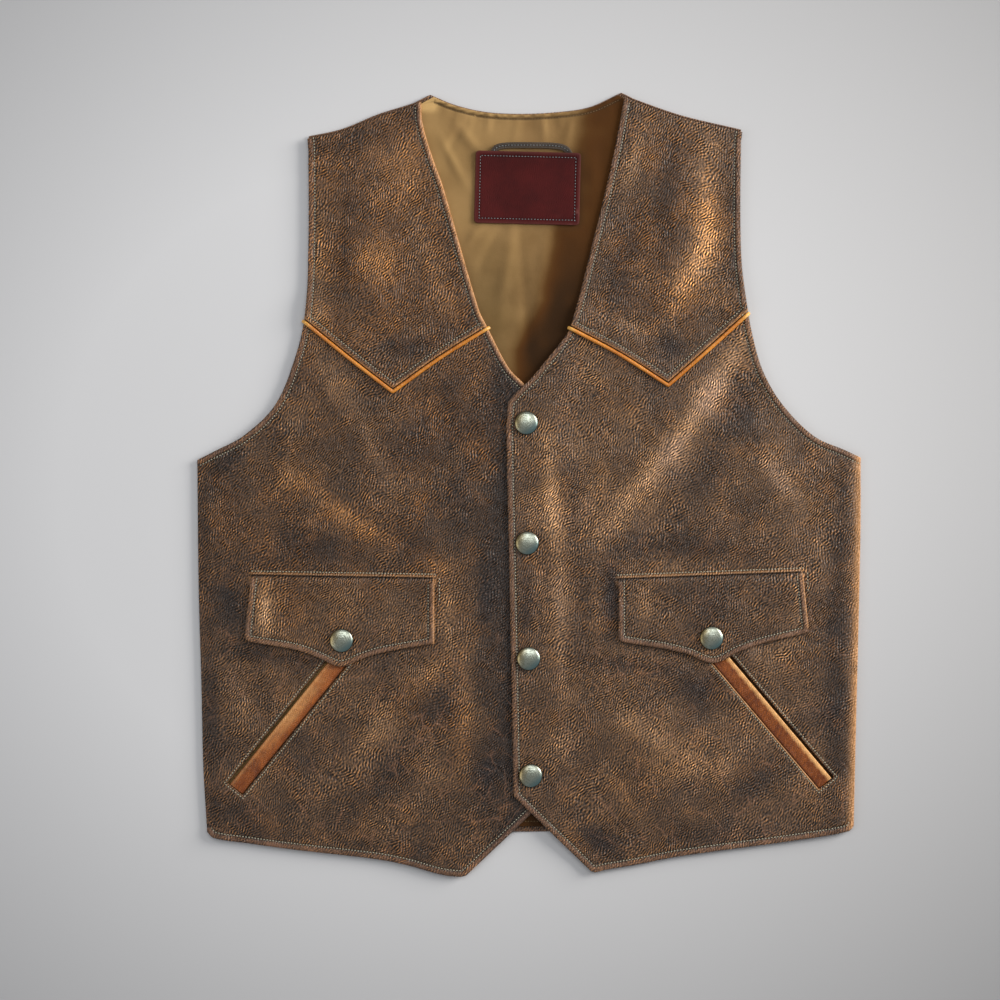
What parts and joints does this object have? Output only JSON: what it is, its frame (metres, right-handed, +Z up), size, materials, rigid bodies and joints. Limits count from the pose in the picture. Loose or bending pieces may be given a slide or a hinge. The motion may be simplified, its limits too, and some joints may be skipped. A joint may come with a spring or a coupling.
{
  "type": "western leather vest, laid flat",
  "caption": "Leather western vest lying flat on its back, closed by snaps, with piped pointed yokes, flap pockets, slanting welt pockets and a cotton back lining.",
  "frame": {"origin": "middle of the vest's outline, on the surface that it lies on", "axes": "+X to the wearer's left, +Y towards the neck, +Z up out of the fronts"},
  "size_m": [0.5644, 0.6673, 0.0114],
  "materials": {
    "main_leather": "distressed brown pull-up leather, pebbled grain, dark patches and orange-tan crackle lines, satin",
    "lining_cotton": "matt khaki cotton twill with soft puckers at its edges",
    "piping_leather": "smooth orange-tan piping leather, satin",
    "welt_leather": "smooth rust-orange leather, lightly glossy on its fold",
    "label_leather": "burgundy leather, worn, bare, with a stitched border",
    "loop_leather": "dark brown leather strap with a stitch line",
    "snap_silver": "antique silver, worn low relief, darker in the hollows"
  },
  "bodies": {
    "root": {"back_panel": "main_leather", "back_lining": "lining_cotton", "front_right": "main_leather", "front_left": "main_leather", "yoke_right": "main_leather", "yoke_left": "main_leather", "flap_right": "main_leather", "flap_left": "main_leather", "piping_right": "piping_leather", "piping_left": "piping_leather", "welt_right": "welt_leather", "welt_left": "welt_leather", "label": "label_leather", "hanger_loop": "loop_leather", "snap_front_1": "snap_silver", "snap_front_2": "snap_silver", "snap_front_3": "snap_silver", "snap_front_4": "snap_silver", "snap_flap_right": "snap_silver", "snap_flap_left": "snap_silver"}
  },
  "joints": []
}
